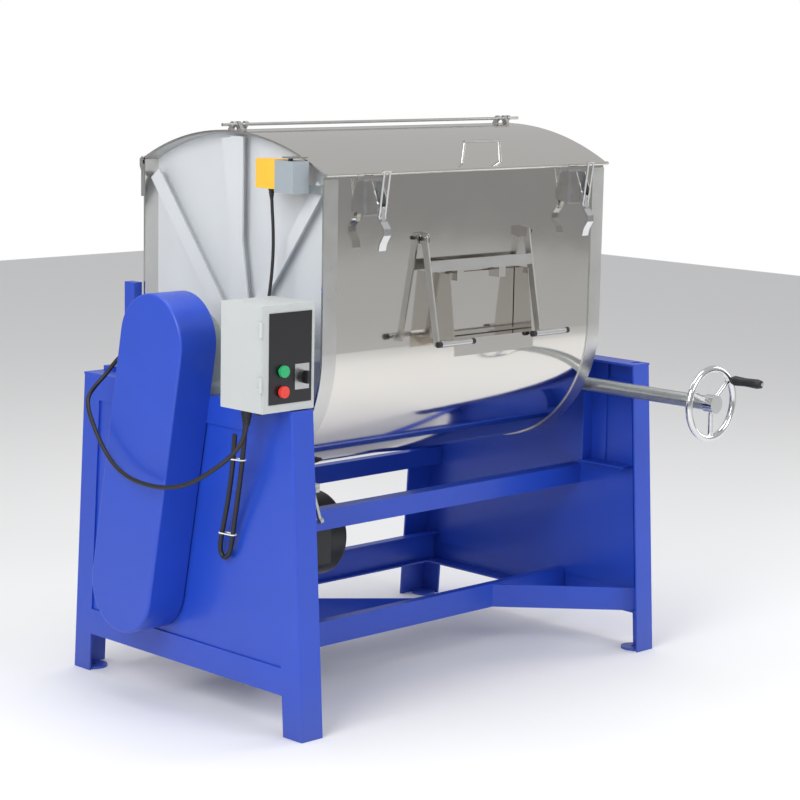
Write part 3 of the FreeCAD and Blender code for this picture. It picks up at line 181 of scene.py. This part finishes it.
PAINT = {
    mirror: ["drum_shell", "rear_cover", "front_lid", "chute", "gate_plate"],
    satin: ["drum_rims", "trunnions", "lid_hinge", "gate_frame", "rear_clamp", "lid_handle",
            "agitator_shaft", "outer_ribbons", "inner_ribbons", "agitator_spokes"],
    blue: ["left_side_frame", "right_side_frame", "side_panels", "top_plates", "foot_pads", "upper_beams",
           "lower_beams", "diagonal_braces", "back_stop", "motor_mount", "chain_guard", "guard_backplate"],
    grey: ["end_walls", "end_straps"],
    cast: ["bearing_housings", "worm_gearbox"],
    zinc: ["adjusting_bolts", "switch_bracket", "handwheel_tube"],
    oiled: ["roller_chain", "driven_sprocket", "drive_sprocket"],
    chrome: ["handwheel", "latch_brackets", "left_latch_lever", "right_latch_lever", "left_latch_hook",
             "right_latch_hook"],
    black: ["gearmotor", "terminal_box"],
    box_grey: ["control_box", "control_door"],
    plastic: ["cable_glands", "handwheel_grip", "selector_knob", "switch_plunger"],
    film: ["panel_plate"],
    green: ["start_button"],
    red: ["stop_button"],
    yellow: ["limit_switch"],
    rubber: ["motor_cord", "supply_cord", "switch_cord"],
    nylon: ["cable_ties"],
    aluminium: ["switch_escutcheon"],
}
for finish, names in PAINT.items():
    for name in names:
        mesh = NODES[name].data
        mesh.materials.clear()
        mesh.materials.append(finish)


def paint_faces(name, finish, test):
    """Gives the faces of a CAD node whose middle, in millimetres, passes a test another finish."""
    mesh = NODES[name].data
    mesh.materials.append(finish)
    index = len(mesh.materials) - 1
    for polygon in mesh.polygons:
        if test(polygon.center / MM):
            polygon.material_index = index


SWITCH_HEAD_Y = -230.5                  # the cast head is in front of this, the moulded body behind
PULL_GRIPS_TOP = 925                    # the pull bars' ball ends hang below this
PULL_STEMS = ((-191.5, -87.5), (150.5, 261.5))      # the gate frame's bare metal between its ball ends
STAR_KNOBS_LOW = 1140                   # the chute's side knobs sit above this
STAR_KNOBS_X = (-181, 195)              # and outside its cheeks


def is_ball_end(centre):
    return centre.z < PULL_GRIPS_TOP and not any(low <= centre.x <= high for low, high in PULL_STEMS)


def is_side_knob(centre):
    left, right = STAR_KNOBS_X
    return centre.z > STAR_KNOBS_LOW and not left <= centre.x <= right


paint_faces("limit_switch", switch_grey, lambda centre: centre.y < SWITCH_HEAD_Y)
paint_faces("gate_frame", plastic, is_ball_end)
paint_faces("chute", plastic, is_side_knob)


# ---------------------------------------------------------------- cords

MOTOR_CORD_RADIUS = 5.5
SUPPLY_CORD_RADIUS = 6
SWITCH_CORD_RADIUS = 4


def spline(name, points, radius, cad):
    """A round cord on one smooth line, in place of its CAD tube."""
    curve = bpy.data.curves.new(name, "CURVE")
    curve.dimensions = "3D"
    curve.bevel_depth = radius * MM
    curve.bevel_resolution = 5
    curve.resolution_u = 8
    curve.use_fill_caps = True
    run = curve.splines.new("NURBS")
    run.points.add(len(points) - 1)
    for knot, point in zip(run.points, points):
        knot.co = [v * MM for v in point] + [1.0]
    run.order_u = 3
    run.use_endpoint_u = True
    curve.materials.append(rubber)
    made = bpy.data.objects.new(name, curve)
    scene.collection.objects.link(made)
    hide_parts(cad)
    return made


def as_mesh(made, cad):
    """The same cord as a mesh; it runs between two bodies."""
    mesh = bpy.data.meshes.new_from_object(made.evaluated_get(bpy.context.evaluated_depsgraph_get()))
    solid = bpy.data.objects.new(made.name + "_mesh", mesh)
    scene.collection.objects.link(solid)
    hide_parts(cad)
    bpy.data.objects.remove(made)
    return solid


motor_points = [
    (-716, -318, 776), (-718, -318, 735), (-738, -300, 685), (-772, -252, 638), (-786, -200, 606),
    (-792, -145, 588), (-795, -85, 579), (-796, -25, 579), (-795, 35, 586), (-793, 88, 606),
    (-790, 134, 640), (-787, 172, 682), (-778, 212, 725), (-756, 244, 752), (-728, 252, 775),
    (-702, 238, 806), (-686, 214, 845), (-672, 190, 868), (-646, 172, 876), (-610, 156, 868),
    (-578, 146, 840), (-556, 140, 800), (-546, 138, 750), (-543, 136, 695), (-541, 134, 635),
    (-534, 128, 580), (-508, 116, 532), (-466, 94, 500), (-416, 62, 484), (-366, 28, 474),
    (-322, -4, 468), (-285, -24, 458), (-262, -31, 438), (-254, -32, 404)]
supply_points = [
    (-705, -300, 776), (-704, -296, 738), (-698, -284, 690), (-690, -268, 638), (-682, -250, 585),
    (-674, -232, 535), (-666, -214, 486), (-661, -200, 440), (-660, -190, 413), (-660, -172, 400),
    (-661, -158, 416), (-664, -163, 445), (-670, -182, 490), (-678, -204, 542), (-688, -226, 596),
    (-698, -246, 648), (-708, -262, 694), (-713, -270, 724)]
switch_points = [
    (-541, -196, 1290), (-540, -197, 1255), (-536, -198, 1200), (-534, -197, 1140), (-536, -194, 1080),
    (-541, -190, 1025), (-549, -189, 975), (-565, -192, 936), (-588, -198, 906), (-612, -206, 890),
    (-628, -220, 885), (-630, -241, 885)]
motor_cord = spline("motor_cord_run", motor_points, MOTOR_CORD_RADIUS, "motor_cord")
supply_cord = spline("supply_cord_run", supply_points, SUPPLY_CORD_RADIUS, "supply_cord")
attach(motor_cord, "frame")
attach(supply_cord, "frame")
switch_cord = as_mesh(spline("switch_cord_run", switch_points, SWITCH_CORD_RADIUS, "switch_cord"), "switch_cord")

SLEEVE_SIDES = 18
# A strain relief's profile: millimetres from the gland, and width against the cord's
SLEEVE_PROFILE = [(0, 1.85), (3, 1.85), (4, 1.5), (7, 1.5), (8, 1.62), (10, 1.62), (11, 1.35), (14, 1.35),
                  (15, 1.45), (17, 1.45), (18, 1.2), (22, 1.15), (24, 1.02)]


def sleeve(name, base, toward, radius, body):
    """A ribbed rubber sleeve that tapers from a gland to the cord."""
    base, axis = Vector(base), (Vector(toward) - Vector(base)).normalized()
    across = axis.to_track_quat("Z", "Y").to_matrix()
    turns = [2 * math.pi * k / SLEEVE_SIDES for k in range(SLEEVE_SIDES)]
    grown = bmesh.new()
    rings = []
    for rise, share in SLEEVE_PROFILE:
        wide = radius * share
        rings.append([grown.verts.new((base + axis * rise + across @ Vector(
            (wide * math.cos(turn), wide * math.sin(turn), 0))) * MM) for turn in turns])
    for near, far in zip(rings, rings[1:]):
        for k in range(SLEEVE_SIDES):
            after = (k + 1) % SLEEVE_SIDES
            grown.faces.new((near[k], near[after], far[after], far[k]))
    grown.faces.new(reversed(rings[0]))
    grown.faces.new(rings[-1])
    bmesh.ops.recalc_face_normals(grown, faces=grown.faces)
    mesh = bpy.data.meshes.new(name)
    grown.to_mesh(mesh)
    grown.free()
    mesh.materials.append(plastic)
    made = bpy.data.objects.new(name, mesh)
    scene.collection.objects.link(made)
    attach(made, body)


sleeve("motor_sleeve", (-716, -318, 776), (-717, -318, 750), MOTOR_CORD_RADIUS, "frame")
sleeve("supply_sleeve", (-705, -300, 776), (-704.4, -297.5, 750), SUPPLY_CORD_RADIUS, "frame")
sleeve("terminal_sleeve", (-254, -32, 404), (-256, -31.8, 420), MOTOR_CORD_RADIUS, "frame")
sleeve("box_sleeve", (-630, -241, 885), (-629, -230, 885), SWITCH_CORD_RADIUS, "frame")
sleeve("switch_sleeve", (-541, -196, 1290), (-540.5, -196.5, 1270), SWITCH_CORD_RADIUS, "drum")

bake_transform(switch_cord)


# ---------------------------------------------------------------- camera

AZIMUTH, ELEVATION, ROLL = map(math.radians, (-44.61, 9.26, 1.09))
CAMERA_PLACE = mm(-4222.84, -4378.29, 1692.73)
SENSOR_MM = 36.0
FOCAL_MM = 104.85
CLIP_NEAR, CLIP_FAR = 0.1, 60

back = Vector((math.sin(AZIMUTH) * math.cos(ELEVATION), -math.cos(AZIMUTH) * math.cos(ELEVATION),
               math.sin(ELEVATION)))
level = (-back).cross(Vector((0, 0, 1))).normalized()
upright = level.cross(-back)
right = math.cos(ROLL) * level + math.sin(ROLL) * upright
up = math.cos(ROLL) * upright - math.sin(ROLL) * level
lens = bpy.data.cameras.new("camera")
lens.sensor_width, lens.lens = SENSOR_MM, FOCAL_MM
lens.clip_start, lens.clip_end = CLIP_NEAR, CLIP_FAR
camera = bpy.data.objects.new("camera", lens)
camera.matrix_world = Matrix.Translation(CAMERA_PLACE) @ Matrix((right, up, back)).transposed().to_4x4()
scene.collection.objects.link(camera)
scene.camera = camera
scene.view_settings.view_transform = "Standard"


# ---------------------------------------------------------------- light and floor

SKY_STRENGTH = 0.62
SKY_LOWEST = (0.42, 0.42, 0.42, 1)
SKY_HIGHEST = (0.95, 0.96, 0.98, 1)
SKY_BANDS = ((0.47, 0.5), (0.5, 0.62), (0.56, 0.82), (0.75, 0.9))       # height and shade
SKY_COOLNESS = 1.01
FLOOR_REACH = 9
FLOOR_LEVEL = -0.0005                   # a hair under the feet

world = bpy.data.worlds.new("studio")
scene.world = world
world.use_nodes = True
sky = world.node_tree
sky.nodes.clear()
ray = add(sky, "ShaderNodeLightPath")
direction = add(sky, "ShaderNodeTexCoord")
height = add(sky, "ShaderNodeSeparateXYZ", {0: direction.outputs["Generated"]})
rise = add(sky, "ShaderNodeMapRange", {"Value": height.outputs["Z"]}, From_Min=-1.0, From_Max=1.0)
ramp = add(sky, "ShaderNodeValToRGB", {"Fac": rise.outputs[0]})
stops = ramp.color_ramp.elements
stops[0].position, stops[0].color = 0.0, SKY_LOWEST
stops[1].position, stops[1].color = 1.0, SKY_HIGHEST
for position, shade in SKY_BANDS:
    stops.new(position).color = (shade, shade, shade * SKY_COOLNESS, 1)
room = add(sky, "ShaderNodeBackground", {"Color": ramp.outputs["Color"]}, Strength=SKY_STRENGTH)
white = add(sky, "ShaderNodeBackground", Color=(1, 1, 1, 1), Strength=1.0)
mixed = add(sky, "ShaderNodeMixShader", {0: ray.outputs["Is Camera Ray"], 1: room.outputs[0], 2: white.outputs[0]})
add(sky, "ShaderNodeOutputWorld", {"Surface": mixed.outputs[0]})


def softbox(name, at, target, width, height, power):
    light = bpy.data.lights.new(name, "AREA")
    light.shape, light.size, light.size_y, light.energy = "RECTANGLE", width, height, power
    made = bpy.data.objects.new(name, light)
    made.location = at
    made.rotation_euler = (Vector(target) - Vector(at)).to_track_quat("-Z", "Y").to_euler()
    scene.collection.objects.link(made)


softbox("left_softbox", (-3.6, -1.2, 2.6), (0, 0, 0.8), 2.2, 2.2, 95)
softbox("front_softbox", (0.6, -4.6, 3.0), (0, 0, 0.8), 2.6, 1.8, 70)
softbox("right_fill", (4.0, -1.6, 1.8), (0, 0, 0.8), 1.6, 2.4, 30)
softbox("top_softbox", (0, 0.4, 4.2), (0, 0, 1), 3.0, 2.4, 60)

# Seamless pale studio floor: matt, with no visible grain
floor_paint = painted("pale_studio_floor", "#F2F2F2", 0.6, tint=0.005, tint_mm=900)
floor_mesh = bpy.data.meshes.new("studio_floor")
floor_mesh.from_pydata([(x, y, FLOOR_LEVEL) for x, y in (
    (-FLOOR_REACH, -FLOOR_REACH), (FLOOR_REACH, -FLOOR_REACH),
    (FLOOR_REACH, FLOOR_REACH), (-FLOOR_REACH, FLOOR_REACH))], [], [(0, 1, 2, 3)])
floor_mesh.materials.append(floor_paint)
floor = bpy.data.objects.new("studio_floor", floor_mesh)
scene.collection.objects.link(floor)
